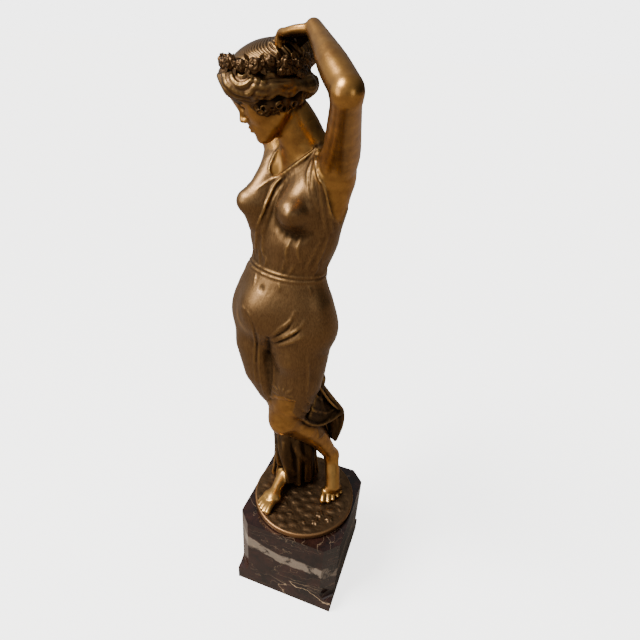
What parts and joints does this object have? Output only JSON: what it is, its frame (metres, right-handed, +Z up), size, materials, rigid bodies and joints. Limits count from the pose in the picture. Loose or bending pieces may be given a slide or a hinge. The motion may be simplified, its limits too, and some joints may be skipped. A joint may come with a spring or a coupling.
{
  "type": "female figure on marble base",
  "caption": "Draped bronze girl with both arms raised to her wreathed hair, on a round ground fixed to a square marble plinth with stopped chamfers.",
  "frame": {"origin": "centre of the plinth's underside", "axes": "+Z up; -Y is the plinth's front face, towards which the weight foot points; +X to the right seen from the front"},
  "size_m": [0.1927, 0.1608, 0.6441],
  "materials": {
    "bronze": "hollow cast bronze with a waxed golden brown patina, brighter on skin and ridges",
    "marble": "polished dark brown marble with grey beige bands and fine tan veins"
  },
  "bodies": {
    "root": {"bronze_figure": "bronze", "marble_plinth": "marble"}
  },
  "joints": []
}
